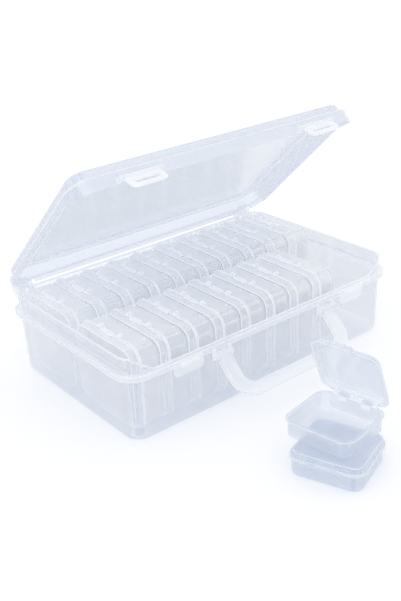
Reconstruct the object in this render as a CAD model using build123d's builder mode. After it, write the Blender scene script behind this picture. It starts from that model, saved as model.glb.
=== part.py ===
from build123d import *
import os
from math import tan, radians
from typing import NamedTuple

os.makedirs("parts", exist_ok=True)

# The case stands on Z = 0 with its long side along X and its front, where it
# latches, towards -Y. The origin is the middle of its underside. Sizes are in mm.


class BoxSize(NamedTuple):
    """Outside sizes of one small box, over its rims, and where its fittings sit."""
    width: float          # along the hinge
    depth: float          # from the latch rim to the hinge rim
    tray_height: float
    lid_height: float
    corner: float
    hook_gap: float       # between the middles of the two hooks
    hinge_span: float     # length of the notch that holds the hinge
    clip_place: float     # from the middle to each hinge clip
    pip_inset: float      # from the side of the box to each moulded pip


kept = BoxSize(62.0, 56.0, 14.2, 6.0, 9.5, 20.0, 40.0, 10.0, 11.0)
loose = BoxSize(45.0, 41.5, 11.3, 4.4, 7.5, 14.5, 30.0, 7.8, 8.0)

# Walls and rims of the small boxes
box_wall = 1.1
box_rim = 1.2
rim_thick = 1.0
box_foot_round = 1.8
seam_gap = 0.1

# Hinge of the small boxes: a rod on the lid that snaps into clips on the tray
rod_radius = 0.8
rod_play = 0.25
clip_radius = 1.8
clip_width = 6.0
clip_mouth = 1.2
arm_width = 2.4
rod_reach = 0.8       # from the rim's edge out to the middle of the rod

# Hooks and thumb tab on the lids of the small boxes
hook_width = 3.0
hook_thick = 1.3
hook_play = 0.3
hook_lip = 0.9
hook_bite = 0.5
tab_width = 11.0
tab_reach = 1.7
tab_height = 2.6
pip_radius = 0.8
pip_rise = 3.0

# Bays for the small boxes: two rows of ten
row_bays = 10
boxes_in_back = 10
boxes_in_front = 8
box_slack = 0.9       # free space beside each box along the row
row_space = 4.0       # free space between the two rows
side_slack = 0.8      # free space between the boxes and the case's long walls
end_slack = 2.25      # free space between the boxes and the case's end walls
stand_gap = 0.2

# Case tray
case_wall = 1.4
case_floor = 1.6
case_draft = 1.6      # degrees
case_corner = 9.0     # inside, at the floor
case_base_round = 4.5
case_inner_round = 2.5
flange_top = 47.0
flange_thick = 1.4
flange_reach = 3.2
flange_drop = 3.4
flange_edge = 1.2
lip_top = 57.0
sweep_start = 6.0     # from the end of the case to the top of the sweep
sweep_run = 16.0
sweep_round = 9.0
sweep_depth = 24.0

# Case lid
lid_wall = 1.4
lid_seat_gap = 0.4
lid_side_gap = 0.5
lid_rise = 8.6
lid_draft = 12.0
lid_top_round = 2.5
end_skirt = 3.0
front_skirt = 7.0
back_skirt = 2.2
panel_inset = 13.0
panel_drop = 1.2
panel_corner = 9.0
lid_open_angle = 43.0

# Hinges of the case, two sets of knuckles near its back corners
hinge_inset = 14.0
hinge_reach = 3.0     # from the lid's back edge out to the pin
knuckle_radius = 2.5
pin_radius = 1.3
pin_play = 0.3
eye_width = 7.0
ear_width = 3.0
ear_gap = 0.4

# Latches: flaps on the lid that snap over catches on the tray
latch_place = 70.0
catch_width = 22.0
catch_thick = 1.2
catch_height = 9.5
hook_bar_width = 14.0
hook_bar_reach = 3.0
hook_bar_height = 1.8
hook_bar_drop = 0.6   # from the flange's top to the bar's top
flap_width = 25.0
flap_thick = 1.4
flap_length = 11.0
flap_gap = 0.4
flap_barrel = 1.5
flap_pin = 0.8
flap_ear = 1.7
flap_ear_width = 2.5
slot_width = 18.0
slot_play = 0.7
flap_corner = 3.0
flap_tilt = 30.0

# Handle
handle_width = 98.0
handle_length = 32.0
handle_thick = 3.0
handle_leg = 9.0
handle_grip = 8.0
handle_corner = 16.0
handle_drop = 6.4     # from the flange's top to the pivots
handle_out = 1.5      # from the flange's edge out to the pivots
handle_eye = 2.4
handle_ear_width = 2.5
handle_tilt = 45.0

# Where the two loose boxes stand in front of the case, the open one on the closed one
closed_place = (-36.0, -159.0)
closed_turn = 20.4
open_place = (-30.5, -151.4)
open_turn = 9.8
loose_lid_angle = 68.0

# Places worked out from the sizes above
hinge_proud = rod_reach + clip_radius
bay_pitch = kept.tray_height + kept.lid_height + box_slack
inner_length = row_bays * bay_pitch - box_slack + 2 * end_slack
inner_depth = 2 * kept.width + row_space + 2 * side_slack
row_offset = (kept.width + row_space) / 2
stand_height = case_floor + stand_gap + hinge_proud + kept.depth / 2


def draft_at(height):
    """How far the case's wall has leaned out at a height above its floor plane."""
    return height * tan(radians(case_draft))


lip_length = inner_length + 2 * (case_wall + draft_at(lip_top))
lip_depth = inner_depth + 2 * (case_wall + draft_at(lip_top))
flange_length = inner_length + 2 * (case_wall + draft_at(flange_top) + flange_reach)
flange_depth = inner_depth + 2 * (case_wall + draft_at(flange_top) + flange_reach)
flange_corner = case_corner + case_wall + draft_at(flange_top) + flange_reach
lip_corner = case_corner + case_wall + draft_at(lip_top)
lid_length = lip_length + 2 * (lid_side_gap + lid_wall)
lid_depth = lip_depth + 2 * (lid_side_gap + lid_wall)
lid_corner = lip_corner + lid_side_gap + lid_wall
lid_seat = lip_top + lid_seat_gap
lid_top = lid_seat + lid_rise
hinge_y = lid_depth / 2 + hinge_reach
hinge_z = lip_top
hinge_x = flange_length / 2 - hinge_inset
flap_y = -(flange_depth / 2 + catch_thick + flap_gap + flap_thick / 2)
flap_z = lid_seat - front_skirt + flap_ear
handle_y = -(flange_depth / 2 + handle_out)
handle_z = flange_top - handle_drop
hook_bar_top = flange_top - hook_bar_drop


def small_tray(size):
    """Deep half of a small box: latch side towards -Y, hinge clips towards +Y."""
    body_width = size.width - 2 * box_rim
    body_depth = size.depth - 2 * box_rim
    rim_bottom = size.tray_height - rim_thick
    rod_y = size.depth / 2 + rod_reach
    rod_z = size.tray_height
    with BuildPart() as tray:
        with BuildSketch():
            RectangleRounded(body_width, body_depth, size.corner - box_rim)
        extrude(amount=size.tray_height)
        fillet(tray.faces().sort_by(Axis.Z)[0].edges(), box_foot_round)
        with BuildSketch(Plane.XY.offset(rim_bottom)):
            RectangleRounded(size.width, size.depth, size.corner)
            with Locations((0, size.depth / 2)):
                Rectangle(size.hinge_span, 2 * box_rim, mode=Mode.SUBTRACT)
        extrude(amount=rim_thick)
        with BuildSketch(Plane.XY.offset(box_wall)):
            inner_corner = size.corner - box_rim - box_wall
            RectangleRounded(body_width - 2 * box_wall, body_depth - 2 * box_wall, inner_corner)
        extrude(amount=size.tray_height, mode=Mode.SUBTRACT)
        for side in (-1, 1):
            with BuildSketch(Plane.YZ.offset(side * size.clip_place)):
                with Locations((rod_y, rod_z)):
                    Circle(clip_radius)
                with BuildLine():
                    Polyline(
                        (body_depth / 2 - box_wall / 2, rod_z - seam_gap),
                        (rod_y - clip_radius, rod_z - seam_gap),
                        (rod_y, rod_z - clip_radius),
                        (body_depth / 2 - box_wall / 2, rod_z - 2 * clip_radius),
                        close=True,
                    )
                make_face()
                with Locations((rod_y, rod_z)):
                    Circle(rod_radius + rod_play, mode=Mode.SUBTRACT)
                with Locations((rod_y, rod_z + clip_radius)):
                    Rectangle(clip_mouth, 2 * clip_radius, mode=Mode.SUBTRACT)
            extrude(amount=clip_width / 2, both=True)
        pip_x = size.width / 2 - size.pip_inset
        with BuildSketch(Plane.XZ.offset(body_depth / 2)):
            with Locations((-pip_x, pip_rise), (pip_x, pip_rise)):
                Circle(pip_radius)
        extrude(amount=pip_radius / 2)
    return tray.part


def small_lid(size):
    """Shallow half of a small box, shut on its tray: hooks and tab towards -Y."""
    body_width = size.width - 2 * box_rim
    body_depth = size.depth - 2 * box_rim
    bottom = size.tray_height + seam_gap
    top = size.tray_height + size.lid_height
    rod_y = size.depth / 2 + rod_reach
    rod_z = size.tray_height
    rod_length = size.hinge_span - 2 * rod_play
    latch_y = -size.depth / 2
    lip_level = size.tray_height - rim_thick - hook_play
    with BuildPart() as lid:
        with BuildSketch(Plane.XY.offset(bottom)):
            RectangleRounded(body_width, body_depth, size.corner - box_rim)
        extrude(amount=top - bottom)
        fillet(lid.faces().sort_by(Axis.Z)[-1].edges(), box_foot_round)
        with BuildSketch(Plane.XY.offset(bottom)):
            RectangleRounded(size.width, size.depth, size.corner)
            with Locations((0, size.depth / 2)):
                Rectangle(size.hinge_span, 2 * box_rim, mode=Mode.SUBTRACT)
        extrude(amount=rim_thick)
        with BuildSketch(Plane.XY.offset(bottom)):
            inner_corner = size.corner - box_rim - box_wall
            RectangleRounded(body_width - 2 * box_wall, body_depth - 2 * box_wall, inner_corner)
        extrude(amount=top - bottom - box_wall, mode=Mode.SUBTRACT)
        with BuildSketch(Plane.YZ):
            with Locations((rod_y, rod_z)):
                Circle(rod_radius)
        extrude(amount=rod_length / 2, both=True)
        arm_place = (rod_length - arm_width) / 2
        for place in (-arm_place, 0, arm_place):
            with BuildSketch(Plane.YZ.offset(place)):
                with BuildLine():
                    Polyline(
                        (body_depth / 2 - box_wall / 2, bottom),
                        (body_depth / 2 + seam_gap, bottom),
                        (rod_y, rod_z - rod_radius),
                        (rod_y + rod_radius, rod_z),
                        (rod_y, rod_z + rod_radius),
                        (body_depth / 2 - box_wall / 2, bottom + tab_height),
                        close=True,
                    )
                make_face()
            extrude(amount=arm_width / 2, both=True)
        for side in (-1, 1):
            with BuildSketch(Plane.YZ.offset(side * size.hook_gap / 2)):
                with BuildLine():
                    Polyline(
                        (latch_y + hook_play, bottom + rim_thick),
                        (latch_y + hook_play, bottom),
                        (latch_y - hook_play, bottom),
                        (latch_y - hook_play, lip_level),
                        (latch_y + hook_bite, lip_level),
                        (latch_y + hook_bite, lip_level - hook_lip),
                        (latch_y - hook_play - hook_thick, lip_level - hook_lip),
                        (latch_y - hook_play - hook_thick, bottom + rim_thick),
                        close=True,
                    )
                make_face()
            extrude(amount=hook_width / 2, both=True)
        with BuildSketch(Plane.XY.offset(bottom)):
            with Locations((0, latch_y - tab_reach / 2 + box_rim)):
                RectangleRounded(tab_width, tab_reach + 2 * box_rim, box_rim)
            with Locations((0, latch_y + 2 * box_rim + box_wall / 2)):
                Rectangle(tab_width, 2 * box_rim, mode=Mode.SUBTRACT)
        extrude(amount=tab_height)
    return lid.part


def save(piece, name):
    """Labels a finished piece and writes it under its name."""
    piece.label = name
    export_step(piece, f"parts/{name}.step")


# Case tray: a drafted tub with a turned-down flange, raised ends and a raised back
with BuildPart() as case_tray:
    with BuildSketch():
        RectangleRounded(inner_length + 2 * case_wall, inner_depth + 2 * case_wall,
                         case_corner + case_wall)
    extrude(amount=lip_top, taper=-case_draft)
    fillet(case_tray.faces().sort_by(Axis.Z)[0].edges(), case_base_round)
    with BuildSketch(Plane.XY.offset(flange_top - flange_thick)):
        RectangleRounded(flange_length, flange_depth, flange_corner)
    extrude(amount=flange_thick)
    with BuildSketch(Plane.XY.offset(flange_top - flange_drop)):
        RectangleRounded(flange_length, flange_depth, flange_corner)
        RectangleRounded(flange_length - 2 * flange_edge, flange_depth - 2 * flange_edge,
                         flange_corner - flange_edge, mode=Mode.SUBTRACT)
    extrude(amount=flange_drop)

    # Ears of the lid's hinges, joined in pairs by their pins
    wall_y = lip_depth / 2 - case_wall / 2
    ear_step = (eye_width + ear_width) / 2 + ear_gap
    for side in (-1, 1):
        for step in (-ear_step, ear_step):
            with BuildSketch(Plane.YZ.offset(side * hinge_x + step)):
                with Locations((hinge_y, hinge_z)):
                    Circle(knuckle_radius)
                with BuildLine():
                    Polyline(
                        (wall_y, lip_top - ear_gap),
                        (hinge_y - knuckle_radius, hinge_z),
                        (hinge_y, hinge_z),
                        (hinge_y + knuckle_radius / 2, hinge_z - knuckle_radius),
                        (wall_y, flange_top + flange_thick),
                        close=True,
                    )
                make_face()
            extrude(amount=ear_width / 2, both=True)
        with BuildSketch(Plane.YZ.offset(side * hinge_x)):
            with Locations((hinge_y, hinge_z)):
                Circle(pin_radius)
        extrude(amount=ear_step, both=True)

    # Ears and pins of the handle, under the front flange
    front_wall_y = -(inner_depth / 2 + case_wall / 2 + draft_at(handle_z))
    leg_middle = (handle_width - handle_leg) / 2
    handle_step = (handle_leg + handle_ear_width) / 2 + ear_gap
    for side in (-1, 1):
        for step in (-handle_step, handle_step):
            with BuildSketch(Plane.YZ.offset(side * leg_middle + step)):
                with Locations((handle_y, handle_z)):
                    Circle(handle_eye)
                with BuildLine():
                    Polyline(
                        (front_wall_y, flange_top - flange_thick),
                        (handle_y + handle_out, flange_top - flange_thick),
                        (handle_y, handle_z + handle_eye),
                        (handle_y, handle_z - handle_eye),
                        (front_wall_y, handle_z - 2 * handle_eye),
                        close=True,
                    )
                make_face()
            extrude(amount=handle_ear_width / 2, both=True)
        with BuildSketch(Plane.YZ.offset(side * leg_middle)):
            with Locations((handle_y, handle_z)):
                Circle(pin_radius)
        extrude(amount=handle_step, both=True)

    # Catches for the latches: a hanging tongue with a bar that the flap snaps over
    for side in (-1, 1):
        with BuildSketch(Plane.XZ.offset(flange_depth / 2 - flange_edge / 2)):
            with Locations((side * latch_place, flange_top - catch_height / 2)):
                RectangleRounded(catch_width, catch_height, flap_corner)
            with Locations((side * latch_place, flange_top - flap_corner / 2)):
                Rectangle(catch_width, flap_corner)
        extrude(amount=catch_thick + flange_edge / 2)
        with BuildSketch(Plane.XZ.offset(flange_depth / 2 + catch_thick / 2)):
            with Locations((side * latch_place, hook_bar_top - hook_bar_height / 2)):
                Rectangle(hook_bar_width, hook_bar_height)
        extrude(amount=hook_bar_reach + catch_thick / 2)

    # Hollow, which also trims what the flange and the ears left inside the wall
    with BuildSketch(Plane.XY.offset(case_floor)):
        RectangleRounded(inner_length + 2 * draft_at(case_floor),
                         inner_depth + 2 * draft_at(case_floor), case_corner)
    extrude(amount=lip_top, taper=-case_draft, mode=Mode.SUBTRACT)
    level = case_tray.faces().filter_by(Axis.Z)
    inner_floor = level.filter_by_position(Axis.Z, case_floor - 0.1, case_floor + 0.1)[0]
    fillet(inner_floor.edges(), case_inner_round)

    # Low front: the raised ends sweep down to the flange at the front corners
    sweep_end = flange_length / 2 - sweep_start
    with BuildSketch(Plane.XZ.offset(flange_depth / 2 - sweep_depth)) as sweep:
        with BuildLine():
            Polyline(
                (-sweep_end, lip_top + 1),
                (-sweep_end + sweep_run, flange_top),
                (sweep_end - sweep_run, flange_top),
                (sweep_end, lip_top + 1),
                close=True,
            )
        make_face()
        fillet(sweep.vertices().group_by(Axis.Y)[0], sweep_round)
    extrude(amount=2 * sweep_depth, mode=Mode.SUBTRACT)
save(case_tray.part, "case_tray")

# Case lid, made shut and then turned about its hinge to where it stands open
with BuildPart() as case_lid:
    with BuildSketch(Plane.XY.offset(lid_seat)):
        RectangleRounded(lip_length, lip_depth, lip_corner)
    extrude(amount=lid_rise, taper=lid_draft)
    fillet(case_lid.faces().sort_by(Axis.Z)[-1].edges(), lid_top_round)
    with BuildSketch(Plane.XY.offset(lid_seat - front_skirt)):
        RectangleRounded(lid_length, lid_depth, lid_corner)
    extrude(amount=front_skirt + lid_wall)
    with BuildSketch(Plane.XY.offset(lid_seat - front_skirt)):
        RectangleRounded(lid_length - 2 * lid_wall, lid_depth - 2 * lid_wall, lid_corner - lid_wall)
    extrude(amount=front_skirt, mode=Mode.SUBTRACT)
    with BuildSketch(Plane.XY.offset(lid_seat)):
        RectangleRounded(lip_length - 2 * lid_wall, lip_depth - 2 * lid_wall, lip_corner - lid_wall)
    extrude(amount=lid_rise - lid_wall, taper=lid_draft, mode=Mode.SUBTRACT)

    # Skirt: deep along the front, shallow along the ends and the back, and open
    # round the hinges' ears
    with BuildSketch(Plane.YZ):
        with BuildLine():
            Polyline(
                (-lid_depth / 2 + sweep_start, lid_seat - front_skirt - 1),
                (-lid_depth / 2 + sweep_start, lid_seat - front_skirt),
                (-lid_depth / 2 + sweep_start + sweep_run, lid_seat - end_skirt),
                (lip_depth / 2 - lip_corner, lid_seat - end_skirt),
                (lip_depth / 2 - lip_corner + end_skirt, lid_seat - back_skirt),
                (hinge_y, lid_seat - back_skirt),
                (hinge_y, lid_seat - front_skirt - 1),
                close=True,
            )
        make_face()
    extrude(amount=lid_length, both=True, mode=Mode.SUBTRACT)
    with BuildSketch(Plane.XY.offset(lid_seat - back_skirt)):
        with Locations((-hinge_x, lid_depth / 2), (hinge_x, lid_depth / 2)):
            Rectangle(2 * (ear_step + ear_width), 4 * lid_wall)
    extrude(amount=back_skirt, mode=Mode.SUBTRACT)

    # Sunk panel in the middle of the lid
    panel_length = lip_length - 2 * panel_inset
    panel_depth = lip_depth - 2 * panel_inset
    with BuildSketch(Plane.XY.offset(lid_top - panel_drop)):
        RectangleRounded(panel_length, panel_depth, panel_corner)
    extrude(amount=2 * panel_drop, mode=Mode.SUBTRACT)
    with BuildSketch(Plane.XY.offset(lid_top - panel_drop - lid_wall)):
        RectangleRounded(panel_length + 2 * lid_wall, panel_depth + 2 * lid_wall,
                         panel_corner + lid_wall)
    extrude(amount=lid_wall)

    # Hinge eyes
    for side in (-1, 1):
        with BuildSketch(Plane.YZ.offset(side * hinge_x)):
            with Locations((hinge_y, hinge_z)):
                Circle(knuckle_radius)
            with BuildLine():
                Polyline(
                    (lip_depth / 2 - lid_wall / 2, lid_seat),
                    (hinge_y - knuckle_radius, lid_seat),
                    (hinge_y, hinge_z),
                    (hinge_y, hinge_z + knuckle_radius),
                    (lip_depth / 2 - lid_wall / 2, lid_seat + 2 * lid_wall),
                    close=True,
                )
            make_face()
            with Locations((hinge_y, hinge_z)):
                Circle(pin_radius + pin_play, mode=Mode.SUBTRACT)
        extrude(amount=eye_width / 2, both=True)

    # Ears that carry the latch flaps
    flap_step = (flap_width + flap_ear_width) / 2 + ear_gap
    for side in (-1, 1):
        for step in (-flap_step, flap_step):
            with BuildSketch(Plane.YZ.offset(side * latch_place + step)):
                with Locations((flap_y, flap_z)):
                    Circle(flap_ear)
                with BuildLine():
                    Polyline(
                        (-lid_depth / 2 + lid_wall / 2, lid_seat - front_skirt),
                        (flap_y, flap_z - flap_ear),
                        (flap_y, flap_z + flap_ear),
                        (-lid_depth / 2 + lid_wall / 2, flap_z + 2 * flap_ear),
                        close=True,
                    )
                make_face()
                with Locations((flap_y, flap_z)):
                    Circle(flap_pin + pin_play, mode=Mode.SUBTRACT)
            extrude(amount=flap_ear_width / 2, both=True)

lid_axis = Axis((0, hinge_y, hinge_z), (-1, 0, 0))
save(case_lid.part.rotate(lid_axis, lid_open_angle), "case_lid")

# Latch flaps: made hanging straight down, tilted out, then turned with the lid
flap_axis = Axis((0, flap_y, flap_z), (-1, 0, 0))
for side, hand in ((-1, "left"), (1, "right")):
    with BuildPart() as flap:
        with BuildSketch(Plane.YZ.offset(side * latch_place)):
            with Locations((flap_y, flap_z)):
                Circle(flap_barrel)
        extrude(amount=flap_width / 2, both=True)
        with BuildSketch(Plane.YZ.offset(side * latch_place)):
            with Locations((flap_y, flap_z)):
                Circle(flap_pin)
        extrude(amount=flap_step + flap_ear_width / 2, both=True)
        with BuildSketch(Plane.XZ.offset(-flap_y - flap_thick / 2)) as plate:
            with Locations((side * latch_place, flap_z - flap_length / 2)):
                Rectangle(flap_width, flap_length)
            fillet(plate.vertices().group_by(Axis.Y)[0], flap_corner)
            with Locations((side * latch_place, hook_bar_top - hook_bar_height / 2)):
                SlotOverall(slot_width, hook_bar_height + 2 * slot_play, mode=Mode.SUBTRACT)
        extrude(amount=flap_thick)
    flap_shut = flap.part.rotate(flap_axis, flap_tilt)
    save(flap_shut.rotate(lid_axis, lid_open_angle), f"latch_flap_{hand}")

# Handle: a flat strap in a wide U, with an eye at the end of each leg
with BuildPart() as handle:
    with BuildSketch(Plane.XZ.offset(-handle_y - handle_thick / 2)) as strap:
        with Locations((0, handle_z - handle_length / 2)):
            Rectangle(handle_width, handle_length)
        fillet(strap.vertices().group_by(Axis.Y)[0], handle_corner)
        gap_half = handle_width / 2 - handle_leg
        gap_bottom = handle_z - handle_length + handle_grip
        with BuildLine():
            FilletPolyline(
                (-gap_half, handle_z),
                (-gap_half, gap_bottom),
                (gap_half, gap_bottom),
                (gap_half, handle_z),
                radius=handle_corner - handle_leg,
            )
            Line((gap_half, handle_z), (-gap_half, handle_z))
        make_face(mode=Mode.SUBTRACT)
    extrude(amount=handle_thick)
    for side in (-1, 1):
        with BuildSketch(Plane.YZ.offset(side * leg_middle)):
            with Locations((handle_y, handle_z)):
                Circle(handle_eye)
        extrude(amount=handle_leg / 2, both=True)
    for side in (-1, 1):
        with BuildSketch(Plane.YZ.offset(side * leg_middle)):
            with Locations((handle_y, handle_z)):
                Circle(pin_radius + pin_play)
        extrude(amount=handle_leg, both=True, mode=Mode.SUBTRACT)
handle_axis = Axis((0, handle_y, handle_z), (-1, 0, 0))
save(handle.part.rotate(handle_axis, handle_tilt), "handle")

# Boxes kept in the case, on edge with their latches up and their lids to the left
kept_tray = small_tray(kept)
kept_lid = small_lid(kept)
for row, count, row_y in (("back", boxes_in_back, row_offset), ("front", boxes_in_front, -row_offset)):
    for bay in range(count):
        bay_x = (bay - (row_bays - 1) / 2) * bay_pitch + (kept.tray_height + kept.lid_height) / 2
        stand = Plane(origin=(bay_x, row_y, stand_height), x_dir=(0, 1, 0), z_dir=(-1, 0, 0))
        save(kept_tray.moved(stand.location), f"{row}_box_{bay + 1:02d}_tray")
        save(kept_lid.moved(stand.location), f"{row}_box_{bay + 1:02d}_lid")

# The two loose boxes: one shut, and one open on top of it
loose_tray = small_tray(loose)
loose_lid = small_lid(loose)
loose_height = loose.tray_height + loose.lid_height
shut_spot = Location((*closed_place, 0), (0, 0, closed_turn - 90))
open_spot = Location((*open_place, loose_height + seam_gap), (0, 0, open_turn - 90))
loose_hinge = Axis((0, loose.depth / 2 + rod_reach, loose.tray_height), (-1, 0, 0))
save(loose_tray.moved(shut_spot), "loose_shut_tray")
save(loose_lid.moved(shut_spot), "loose_shut_lid")
save(loose_tray.moved(open_spot), "loose_open_tray")
save(loose_lid.rotate(loose_hinge, loose_lid_angle).moved(open_spot), "loose_open_lid")
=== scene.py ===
import math
import bmesh
import bpy
import numpy as np
from mathutils import Matrix, Vector


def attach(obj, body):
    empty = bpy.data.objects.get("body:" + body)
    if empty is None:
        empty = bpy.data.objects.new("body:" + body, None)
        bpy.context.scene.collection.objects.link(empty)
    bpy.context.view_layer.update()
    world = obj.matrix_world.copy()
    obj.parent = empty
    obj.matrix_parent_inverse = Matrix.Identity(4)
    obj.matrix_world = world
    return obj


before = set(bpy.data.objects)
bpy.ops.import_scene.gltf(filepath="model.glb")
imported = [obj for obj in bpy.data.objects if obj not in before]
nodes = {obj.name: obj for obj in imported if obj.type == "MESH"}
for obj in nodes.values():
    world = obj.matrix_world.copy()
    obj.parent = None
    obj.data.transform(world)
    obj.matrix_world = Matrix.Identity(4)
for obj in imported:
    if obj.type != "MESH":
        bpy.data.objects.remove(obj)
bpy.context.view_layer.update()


# Case tray: the deep half of the case is one injection moulding of clear polypropylene.
# Its walls lean out a little, and a turned-down flange stiffens its rim.

class Signal:
    """One output of a node; sums and products of it add Math nodes to its tree."""

    def __init__(self, tree, socket=None):
        self.tree = tree
        self.socket = socket

    def node(self, kind, inputs=None, out=0, **settings):
        """Adds a node, makes its settings, then gives its sockets values or links."""
        made = self.tree.nodes.new(kind)
        for name, value in settings.items():
            setattr(made, name, value)
        for name, value in (inputs or {}).items():
            if isinstance(value, Signal):
                self.tree.links.new(value.socket, made.inputs[name])
            else:
                made.inputs[name].default_value = value
        return Signal(self.tree, made.outputs[out])

    def math(self, operation, first, second=0.0):
        return self.node("ShaderNodeMath", {0: first, 1: second}, operation=operation)

    def __add__(self, other):
        return self.math("ADD", self, other)

    def __radd__(self, other):
        return self.math("ADD", other, self)

    def __sub__(self, other):
        return self.math("SUBTRACT", self, other)

    def __rsub__(self, other):
        return self.math("SUBTRACT", other, self)

    def __mul__(self, other):
        return self.math("MULTIPLY", self, other)

    __rmul__ = __mul__

    def __abs__(self):
        return self.math("ABSOLUTE", self)

    def clamp(self):
        return self.node("ShaderNodeClamp", {"Value": self})

    def root(self):
        return self.math("SQRT", self)

    def past(self, limit):
        """How far a value is past a limit, or 0 before it."""
        return self.math("MAXIMUM", self - limit, 0.0)

    def above(self, limit):
        """0 below a limit in mm and 1 above it, over a fifth of a millimetre."""
        return ((self - limit) * 5.0).clamp()


def clear_plastic(name, see_through, body, milk, rim_milk, gloss, roughness, thick=None):
    """Clear polypropylene: light goes straight through a faint tint, meets milky matter
    that grows denser towards the outline, and is reflected by the glossy skin. Slow noise
    is the moulding's uneven cloudiness and fine noise its faint orange-peel. The last argument
    gives, from a place in mm, how much whiter the plastic is: where it is moulded thick, and
    in painted highlights on the small boxes' rounded edges and uppermost side."""
    white = (1.0, 1.0, 1.0, 1.0)
    clouds_per_metre, peel_per_metre = 38.0, 900.0
    peel_strength, peel_depth, skin_roughness = 0.06, 0.0004, 0.16
    material = bpy.data.materials.new(name)
    material.use_nodes = True
    tree = material.node_tree
    tree.nodes.clear()
    start = Signal(tree)
    place = start.node("ShaderNodeTexCoord", out=3)
    cloud = start.node("ShaderNodeTexNoise",
                       {"Vector": place, "Scale": clouds_per_metre, "Detail": 3.0})
    peel = start.node("ShaderNodeTexNoise",
                      {"Vector": place, "Scale": peel_per_metre, "Detail": 2.0})
    # Whiter where the last argument says: where the plastic is moulded thick, and in painted
    # highlights on the small boxes.
    thickened = 0.0
    if thick:
        parts = [start.node("ShaderNodeSeparateXYZ", {0: place}, out=k) * 1000.0 for k in range(3)]
        thickened = thick(*parts).clamp()
    outline = start.node("ShaderNodeLayerWeight", {"Blend": 0.5}, out=1)
    shine = start.node("ShaderNodeLayerWeight", {"Blend": 0.36}, out=0)
    turned_away = outline * outline * outline
    colour = start.node("ShaderNodeMix",
                        {0: (turned_away + (cloud - 0.5) * 0.5 + thickened).clamp(),
                         6: (*body, 1.0), 7: white}, out=2, data_type="RGBA")
    bump = start.node("ShaderNodeBump",
                      {"Strength": peel_strength, "Distance": peel_depth, "Height": peel})
    front = start.node("ShaderNodeBsdfPrincipled", {
        "Base Color": colour, "Roughness": (cloud * 0.16 + roughness), "Normal": bump,
        "IOR": 1.49})
    glow = start.node("ShaderNodeBsdfTranslucent", {"Color": white})
    matter = start.node("ShaderNodeMixShader", {0: 0.5, 1: front, 2: glow})
    straight = start.node("ShaderNodeBsdfTransparent", {"Color": (*see_through, 1.0)})

    # Shadow rays and scattered rays meet only a tenth of the matter and the skin, so that
    # the many layers that stand behind one another stay light.
    shadow_ray = start.node("ShaderNodeLightPath", out=1)
    scattered_ray = start.node("ShaderNodeLightPath", out=2)
    passing = 1.0 - (shadow_ray + scattered_ray).clamp() * 0.9
    density = (turned_away * rim_milk + (cloud * 0.35 + 0.82) * milk
               + thickened * 0.7).clamp() * passing
    filled = start.node("ShaderNodeMixShader", {0: density, 1: straight, 2: matter})
    skin = start.node("ShaderNodeBsdfGlossy",
                      {"Color": white, "Normal": bump, "Roughness": skin_roughness})
    coat = (shine * gloss).clamp() * passing
    done = start.node("ShaderNodeMixShader", {0: coat, 1: filled, 2: skin})
    output = tree.nodes.new("ShaderNodeOutputMaterial")
    tree.links.new(done.socket, output.inputs["Surface"])
    return material


def dress(node, material):
    """Gives a CAD node one material on all its faces."""
    mesh = nodes[node].data
    mesh.materials.clear()
    mesh.materials.append(material)


def rounded_loop(half_x, half_y, corner, arc=10, side=1):
    """Points round a rounded rectangle: each corner is a quarter circle about a centre
    set in by the corner's radius, and each side is divided evenly between two of them."""
    turn = np.linspace(0.0, math.pi / 2, arc)
    ring = []
    for k, (sx, sy) in enumerate(((1, 1), (-1, 1), (-1, -1), (1, -1))):
        angle = turn + k * math.pi / 2
        centre = np.array([sx * (half_x - corner), sy * (half_y - corner)])
        ring.append(centre + corner * np.stack([np.cos(angle), np.sin(angle)], axis=1))
    full = []
    for k in range(4):
        full.append(ring[k])
        first, last = ring[k][-1], ring[(k + 1) % 4][0]
        share = np.linspace(0.0, 1.0, side + 2)[1:-1, None]
        full.append(first + (last - first) * share)
    return np.concatenate(full)


def bead(path, radius, up=(0.0, 0.0, 1.0), sides=8, closed=True):
    """A round bead along a path: at each point a circle across the path, built on the
    path's tangent T, the direction across it T x up, and the one square to both. The
    circle's radius is one number or one for each point."""
    radius = (np.zeros(len(path)) + radius)[:, None, None]
    if closed:
        tangent = np.roll(path, -1, axis=0) - np.roll(path, 1, axis=0)
    else:
        tangent = np.gradient(path, axis=0)
    tangent /= np.linalg.norm(tangent, axis=1)[:, None]
    across = np.cross(tangent, np.array(up))
    across /= np.linalg.norm(across, axis=1)[:, None]
    normal = np.cross(across, tangent)
    phi = np.linspace(0.0, 2 * math.pi, sides, endpoint=False)
    points = (path[:, None, :] + radius * np.cos(phi)[None, :, None] * across[:, None, :]
              + radius * np.sin(phi)[None, :, None] * normal[:, None, :])
    count = len(path)
    i = np.arange(count if closed else count - 1)[:, None]
    j = np.arange(sides)[None, :]
    n, m = (i + 1) % count, (j + 1) % sides
    quads = np.stack([i * sides + j, n * sides + j, n * sides + m, i * sides + m], axis=-1)
    return points.reshape(-1, 3), quads.reshape(-1, 4), (count, sides, closed)


def piece(name, parts, material, body):
    """One object from several beads, in metres, its open ends closed by one face each."""
    points, faces, base = [], [], 0
    for verts, quads, (count, sides, closed) in parts:
        points.append(verts)
        faces += (quads + base).tolist()
        if not closed:
            faces.append((np.arange(sides) + base).tolist())
            faces.append((np.arange(sides)[::-1] + base + (count - 1) * sides).tolist())
        base += len(verts)
    mesh = bpy.data.meshes.new(name)
    mesh.from_pydata((np.concatenate(points) / 1000.0).tolist(), [], faces)
    mesh.update()
    work = bmesh.new()
    work.from_mesh(mesh)
    bmesh.ops.recalc_face_normals(work, faces=work.faces)
    work.to_mesh(mesh)
    work.free()
    mesh.polygons.foreach_set("use_smooth", [True] * len(mesh.polygons))
    mesh.materials.append(material)
    made = bpy.data.objects.new(name, mesh)
    bpy.context.scene.collection.objects.link(made)
    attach(made, body)
    return made


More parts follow.
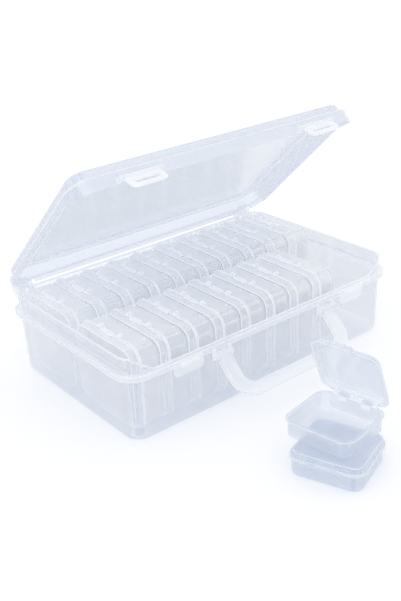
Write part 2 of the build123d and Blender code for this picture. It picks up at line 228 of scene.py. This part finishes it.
# Half sizes over the flange and over the lip, and the corner round each of them.
tray_long, tray_deep, tray_round = 226.43 / 2, 141.43 / 2, 14.4
lip_long, lip_deep, lip_round = 220.58 / 2, 135.58 / 2, 11.99
flange_level, lip_level = 47.0, 57.0
lip_bead, flange_bead = 0.6, 0.55
sweep_high, sweep_low, sweep_depth, sweep_ease = tray_long - 6.0, tray_long - 22.0, 24.0, 1.15


def case_thick(x, y, z):
    """The flange, and all that stands out in front of it and behind it."""
    flange_band = z.above(flange_level - 3.6) * (1.0 - z.above(flange_level + 0.1))
    outside = tray_deep + 0.135
    return flange_band * 0.5 + (0.0 - y).above(outside) + y.above(outside)


case_plastic = clear_plastic("case polypropylene", (0.962, 0.971, 0.988), (0.95, 0.965, 1.0),
                             milk=0.065, rim_milk=0.4, gloss=0.5, roughness=0.22,
                             thick=case_thick)
# The white beads along the edges of the pieces are painted highlights: nearly opaque white plastic
# where the clear edges catch the light.
edge_highlight_plastic = clear_plastic("painted edge highlight", (0.99, 0.99, 0.99), (0.99, 0.99, 1.0),
                            milk=0.92, rim_milk=0.1, gloss=0.5, roughness=0.25)
dress("case_tray", case_plastic)

def lip_height(x, y):
    """Height of the tray's edge: the lip, and along the front a smooth step down from the
    lip to the flange between the two ends of the sweep."""
    share = np.clip((np.abs(x) - sweep_low) / (sweep_high - sweep_low), 0.0, 1.0)
    dip = flange_level + (lip_level - flange_level) * share ** sweep_ease
    return np.where(y < -tray_deep + sweep_depth, dip, lip_level)


# The beads along the tray's lip and along both edges of its flange are painted highlights.
lip = rounded_loop(lip_long - 0.7, lip_deep - 0.7, lip_round - 0.7, arc=16, side=60)
lip = np.column_stack([lip, lip_height(lip[:, 0], lip[:, 1]) - 0.2])
flange = rounded_loop(tray_long - 0.5, tray_deep - 0.5, tray_round, arc=14, side=2)
tray_beads = [bead(lip, lip_bead, sides=10)]
for level in (flange_level - 0.35, flange_level - 3.2):
    line = np.column_stack([flange, np.full(len(flange), level)])
    tray_beads.append(bead(line, flange_bead))
piece("case_tray_edge", tray_beads, edge_highlight_plastic, "case")


# Case lid: the shallow half is moulded from the same plastic, with a sunk panel inside a
# broad rim. It swings on two sets of knuckles near the back corners.

hinge_y, hinge_z, opened = 72.69, 57.0, math.radians(43.0)
lid_long, lid_deep, lid_round = 224.38 / 2, 139.38 / 2, 13.9
lid_seat, lid_top = 57.4, 66.0
panel_inset, panel_round = 13.0, 9.0


def lid_thick(x, y, z):
    """The lid's rim round its panel, and the eyes and ears that stand out from it. y and z
    are first turned back about the hinge line to where they are when the lid is shut."""
    depth = (y - hinge_y) * math.cos(opened) - (z - hinge_z) * math.sin(opened) + hinge_y
    rim_starts = panel_inset - 1.4
    rim = (abs(x).above(lip_long - rim_starts) + abs(depth).above(lip_deep - rim_starts)).clamp()
    front = (0.0 - depth).above(lid_deep - 3.4)
    return rim * 0.16 + front * 0.3 + abs(depth).above(lid_deep + 0.1)


lid_plastic = clear_plastic("case lid polypropylene", (0.898, 0.920, 0.960), (0.90, 0.94, 1.0),
                            milk=0.09, rim_milk=0.42, gloss=0.6, roughness=0.22,
                            thick=lid_thick)
dress("case_lid", lid_plastic)


def with_lid(points):
    """Turns points of the shut lid about its hinge line to where the lid stands."""
    y, z = points[:, 1] - hinge_y, points[:, 2] - hinge_z
    return np.column_stack([points[:, 0],
                            hinge_y + y * math.cos(opened) + z * math.sin(opened),
                            hinge_z - y * math.sin(opened) + z * math.cos(opened)])


lid_up = (0.0, math.sin(opened), math.cos(opened))
outer = rounded_loop(lid_long - 0.5, lid_deep - 0.5, lid_round - 0.5, arc=14, side=2)
panel = rounded_loop(lip_long - panel_inset, lip_deep - panel_inset, panel_round,
                     arc=12, side=2)
under = rounded_loop(lip_long - panel_inset + 0.6, lip_deep - panel_inset + 0.6,
                     panel_round + 0.6, arc=12, side=2)
# The beads round the lid's outer edge, round its sunk panel and under the panel are painted
# highlights.
lid_beads = []
for loop, level, size in ((outer, lid_seat + 1.0, 0.7), (panel, lid_top - 0.1, 0.5),
                          (under, lid_top - 2.7, 0.75)):
    line = with_lid(np.column_stack([loop, np.full(len(loop), level)]))
    lid_beads.append(bead(line, size, up=lid_up))
piece("case_lid_edge", lid_beads, edge_highlight_plastic, "lid")


# Latches: two slotted flaps hang from pins in the lid's front edge and snap over bars on
# the tray's catches. They are moulded thicker, so they look milkier.

latch_plastic = clear_plastic("milky latch plastic", (0.97, 0.975, 0.985), (0.97, 0.98, 1.0),
                              milk=0.75, rim_milk=0.3, gloss=0.5, roughness=0.26)
dress("latch_flap_left", latch_plastic)
dress("latch_flap_right", latch_plastic)


# Handle: a flat strap in a wide U, moulded in one piece, clipped onto pins below the
# front flange so that it folds down against the tray.

handle_plastic = clear_plastic("milky handle plastic", (0.97, 0.977, 0.99), (0.96, 0.975, 1.0),
                               milk=0.5, rim_milk=0.5, gloss=0.6, roughness=0.24)
dress("handle", handle_plastic)

handle_y, handle_z, swung = -72.21, 40.6, math.radians(45.0)
outer_edge, inner_edge = (48.8, 31.8, 15.8), (40.2, 24.2, 7.2)
strap_face, strap_bead, below_pivot = 1.25, 0.45, 1.5


def handle_line(half, length, corner, side, steps=12):
    """Half a rounded rectangle hanging from the pivots: down one leg, round a corner,
    along the grip and up the other leg, on one face of the strap, swung out from hanging."""
    turn = np.linspace(0.0, math.pi / 2, steps)
    x = np.concatenate([[half], half - corner + corner * np.cos(turn)])
    z = np.concatenate([[-below_pivot], -length + corner - corner * np.sin(turn)])
    x, z = np.concatenate([x, -x[::-1]]), np.concatenate([z, z[::-1]])
    y = np.full(len(x), side)
    return np.column_stack([x, handle_y + y * math.cos(swung) + z * math.sin(swung),
                            handle_z - y * math.sin(swung) + z * math.cos(swung)])


# The beads along both edges of the strap, on both its faces, are painted highlights.
across_strap = (0.0, math.cos(swung), -math.sin(swung))
piece("handle_edge", [bead(handle_line(half, length, corner, side), strap_bead,
                           up=across_strap, closed=False)
                      for half, length, corner in (outer_edge, inner_edge)
                      for side in (-strap_face, strap_face)],
      edge_highlight_plastic, "handle")


# Kept boxes: eighteen small hinged boxes for beads stand on edge in two rows, each moulded
# thin and clear, with a doubled rim where its lid meets its tray.

kept_width, kept_depth, kept_round, kept_tray, kept_lid = 62.0, 56.0, 9.5, 14.2, 6.0
pitch, row_middle, stand = 21.1, 33.0, 32.4
# Between these distances in mm lies the painted highlight along a standing box's rounded edges.
band_from, band_to = kept_round - 2.1, kept_round - 1.35


def outline_thick(x, y, z):
    """A painted highlight on the rounded edges of a standing box's two big faces: a band at
    the end of the distance from a smaller rectangle inside the face, which is round at its
    corners."""
    sideways = abs(abs(y) - row_middle).past(kept_width / 2 - kept_round)
    upright = abs(z - stand).past(kept_depth / 2 - kept_round)
    reach = (sideways * sideways + upright * upright).root()
    return reach.above(band_from) * (1.0 - reach.above(band_to)) * 0.3


def top_thick(x, y, z):
    """The painted highlights on the rounded edges, and the side that stands uppermost,
    painted lighter where it catches the light.
    """
    return outline_thick(x, y, z) + z.above(stand + kept_depth / 2 - 1.8) * 0.3


def latch_thick(x, y, z):
    """The same, and the hooks and the thumb tab, which stand above the lid's rim."""
    return top_thick(x, y, z) + z.above(stand + kept_depth / 2 + 0.1)


# Both box plastics are painted whiter along their rounded edges and on their uppermost side:
# painted highlights.
tray_plastic = clear_plastic("bead box polypropylene", (0.989, 0.992, 0.998), (0.98, 0.99, 1.0),
                             milk=0.12, rim_milk=0.5, gloss=0.5, roughness=0.2,
                             thick=top_thick)
box_lid_plastic = clear_plastic("bead box lid polypropylene", (0.989, 0.992, 0.998),
                                (0.98, 0.99, 1.0), milk=0.15, rim_milk=0.5, gloss=0.5,
                                roughness=0.2, thick=latch_thick)


def pip(x, y, z, size=0.75):
    """A small ball: circles whose radius is the half chord at each height of the ball."""
    rise = np.linspace(-0.97, 0.97, 7) * size
    path = np.column_stack([np.full(7, x), np.full(7, y), z + rise])
    return bead(path, np.sqrt(size ** 2 - rise ** 2), up=(1.0, 0.0, 0.0), closed=False)


def box_rims(width, depth, corner, tray_height, lid_height, inset=0.3):
    """Loops, in a box's own frame, of its three edges that get a painted highlight: the
    tray's rim, the lid's rim and the turn from the lid's wall to its top."""
    rim = rounded_loop(width / 2 - inset, depth / 2 - inset, corner - inset, arc=9, side=1)
    body = rounded_loop(width / 2 - 2.0, depth / 2 - 2.0, corner - 2.0, arc=9, side=1)
    lower = np.column_stack([rim, np.full(len(rim), tray_height - 0.5)])
    upper = np.column_stack([rim, np.full(len(rim), tray_height + 0.62)])
    crown = np.column_stack([body, np.full(len(body), tray_height + lid_height - 0.75)])
    return lower, upper, crown


lower, upper, crown = box_rims(kept_width, kept_depth, kept_round, kept_tray, kept_lid)
for row, count, row_y in (("back", 10, row_middle), ("front", 8, -row_middle)):
    for bay in range(count):
        bay_x = (bay - 4.5) * pitch + (kept_tray + kept_lid) / 2
        name = f"{row}_box_{bay + 1:02d}"
        dress(name + "_tray", tray_plastic)
        dress(name + "_lid", box_lid_plastic)
        # The beads along each box's rims are painted highlights, and the white balls over the two
        # pips on its latch side are painted glints.
        beads = []
        for loop, size in ((lower, 0.5), (upper, 0.5), (crown, 0.42)):
            line = np.column_stack([bay_x - loop[:, 2], row_y + loop[:, 0], stand - loop[:, 1]])
            beads.append(bead(line, size, up=(-1.0, 0.0, 0.0), sides=6))
        beads += [pip(bay_x - 3.0, row_y + side * 20.0, stand + 26.9) for side in (-1, 1)]
        piece(name + "_rim", beads, edge_highlight_plastic, name)


# Loose boxes: two more boxes of the same kind, but smaller, moulded from the same plastic.
# One is shut, and the other stands open on it. Each lid's rod snaps into its tray's clips.

loose_width, loose_depth, loose_round, loose_tray, loose_lid = 45.0, 41.5, 7.5, 11.3, 4.4
loose_opened, rod_reach = 68.0, 0.8
rim_bead, crown_bead = 0.42, 0.36


def turned(points, place, turn, lift):
    """Turns a box's points about the upright through its middle and sets it in place."""
    c, s = math.cos(math.radians(turn - 90)), math.sin(math.radians(turn - 90))
    return np.column_stack([points[:, 0] * c - points[:, 1] * s + place[0],
                            points[:, 0] * s + points[:, 1] * c + place[1],
                            points[:, 2] + lift])


def opened_lid(points):
    """Turns the points of a shut lid about its hinge rod."""
    c, s = math.cos(math.radians(loose_opened)), math.sin(math.radians(loose_opened))
    rod_y = loose_depth / 2 + rod_reach
    y, z = points[:, 1] - rod_y, points[:, 2] - loose_tray
    return np.column_stack([points[:, 0], rod_y + y * c + z * s, loose_tray - y * s + z * c])


loose_plastic = clear_plastic("loose bead box polypropylene", (0.932, 0.948, 0.975),
                              (0.90, 0.94, 1.0), milk=0.10, rim_milk=0.5, gloss=0.5,
                              roughness=0.2)
for name in ("loose_shut_tray", "loose_open_tray", "loose_shut_lid", "loose_open_lid"):
    dress(name, loose_plastic)
# The beads along the loose boxes' rims and round their lids' tops are painted highlights.
lower, upper, crown = box_rims(loose_width, loose_depth, loose_round, loose_tray, loose_lid)
shut, open_at = ((-36.0, -159.0), 20.4, 0.0), ((-30.5, -151.4), 9.8, 15.8)
piece("loose_shut_rim", [bead(turned(loop, *shut), size, sides=6)
                         for loop, size in ((lower, rim_bead), (upper, rim_bead),
                                            (crown, crown_bead))],
      edge_highlight_plastic, "loose_shut")


def but_hinge(loop):
    """The same loop without the middle of its side along the hinge, its tenth point: the
    bead starts after it and ends before it, clear of the clips when the lid moves."""
    return np.roll(loop, -10, axis=0)[:-1]


# On the box that opens the rims' beads lie within the plastic, so they pass its hooks.
lower, upper, crown = box_rims(loose_width, loose_depth, loose_round, loose_tray, loose_lid,
                               inset=0.47)
piece("loose_open_rim", [bead(turned(but_hinge(lower), *open_at), rim_bead, sides=6,
                              closed=False)],
      edge_highlight_plastic, "loose_open")
tilt = turned(opened_lid(np.array([[0, 0, 0], [0, 0, 1.0]])), *open_at)
piece("loose_open_lid_rim", [bead(turned(opened_lid(loop), *open_at), size,
                                  up=tuple(tilt[1] - tilt[0]), sides=6, closed=closed)
                             for loop, size, closed in ((but_hinge(upper), rim_bead, False),
                                                        (crown, crown_bead, True))],
      edge_highlight_plastic, "loose_open_lid")


# Studio: a white floor under soft light from all round, and the photograph's camera.
# None of it is part of the object.

scene = bpy.context.scene
scene.view_settings.view_transform = "Standard"
scene.cycles.transparent_max_bounces = 96
scene.cycles.max_bounces = 12

reach, under_case = 6.0, -0.0003
ground = bpy.data.meshes.new("floor")
ground.from_pydata([(x, y, under_case) for x, y in ((-reach, -reach), (reach, -reach),
                                                    (reach, reach), (-reach, reach))],
                   [], [(0, 1, 2, 3)])
floor = bpy.data.objects.new("floor", ground)
scene.collection.objects.link(floor)
paper = bpy.data.materials.new("white floor")
paper.use_nodes = True
paper.node_tree.nodes["Principled BSDF"].inputs["Base Color"].default_value = (0.97, 0.97, 0.97, 1)
paper.node_tree.nodes["Principled BSDF"].inputs["Roughness"].default_value = 0.9
paper.node_tree.nodes["Principled BSDF"].inputs["Specular IOR Level"].default_value = 0.0
ground.materials.append(paper)

world = bpy.data.worlds.new("studio")
scene.world = world
world.use_nodes = True
world.node_tree.nodes.clear()
air = Signal(world.node_tree)
seen = air.node("ShaderNodeLightPath", out=0)
mirrored = air.node("ShaderNodeLightPath", out=3)
through = air.node("ShaderNodeLightPath", out=6)
strength = (seen + mirrored + through).clamp() * 0.05 + 0.95
light = air.node("ShaderNodeBackground", {"Color": (1.0, 1.0, 1.0, 1.0), "Strength": strength})
sky = world.node_tree.nodes.new("ShaderNodeOutputWorld")
world.node_tree.links.new(light.socket, sky.inputs["Surface"])

lamp = bpy.data.lights.new("key", "SUN")
lamp.energy = 0.5
lamp.angle = math.radians(50)
key = bpy.data.objects.new("key", lamp)
key.rotation_euler = Vector((-0.55, -0.35, 1.0)).to_track_quat("Z", "Y").to_euler()
scene.collection.objects.link(key)

# The camera that was fitted to the photograph: its aim in mm and its focal length in pixels.
azimuth, elevation, roll = math.radians(-37.9), math.radians(25.53), math.radians(-3.0)
target, distance = np.array([-6.34, -3.93, 39.85]), 615.79
focal, image_width, sensor_width = 900.83, 401.0, 36.0
back = np.array([math.sin(azimuth) * math.cos(elevation),
                 -math.cos(azimuth) * math.cos(elevation), math.sin(elevation)])
right = np.array([math.cos(azimuth), math.sin(azimuth), 0.0])
up = np.cross(back, right)
right_rolled = right * math.cos(roll) + up * math.sin(roll)
up_rolled = up * math.cos(roll) - right * math.sin(roll)
spot = (target + back * distance) / 1000.0
lens = bpy.data.cameras.new("camera")
lens.sensor_fit = "HORIZONTAL"
lens.sensor_width = sensor_width
lens.lens = focal / image_width * sensor_width
lens.clip_start = 0.01
camera = bpy.data.objects.new("camera", lens)
camera.matrix_world = Matrix([(*row, where) for row, where in
                              zip(np.stack([right_rolled, up_rolled, back], axis=1).tolist(),
                                  spot.tolist())] + [(0, 0, 0, 1)])
scene.collection.objects.link(camera)
scene.camera = camera
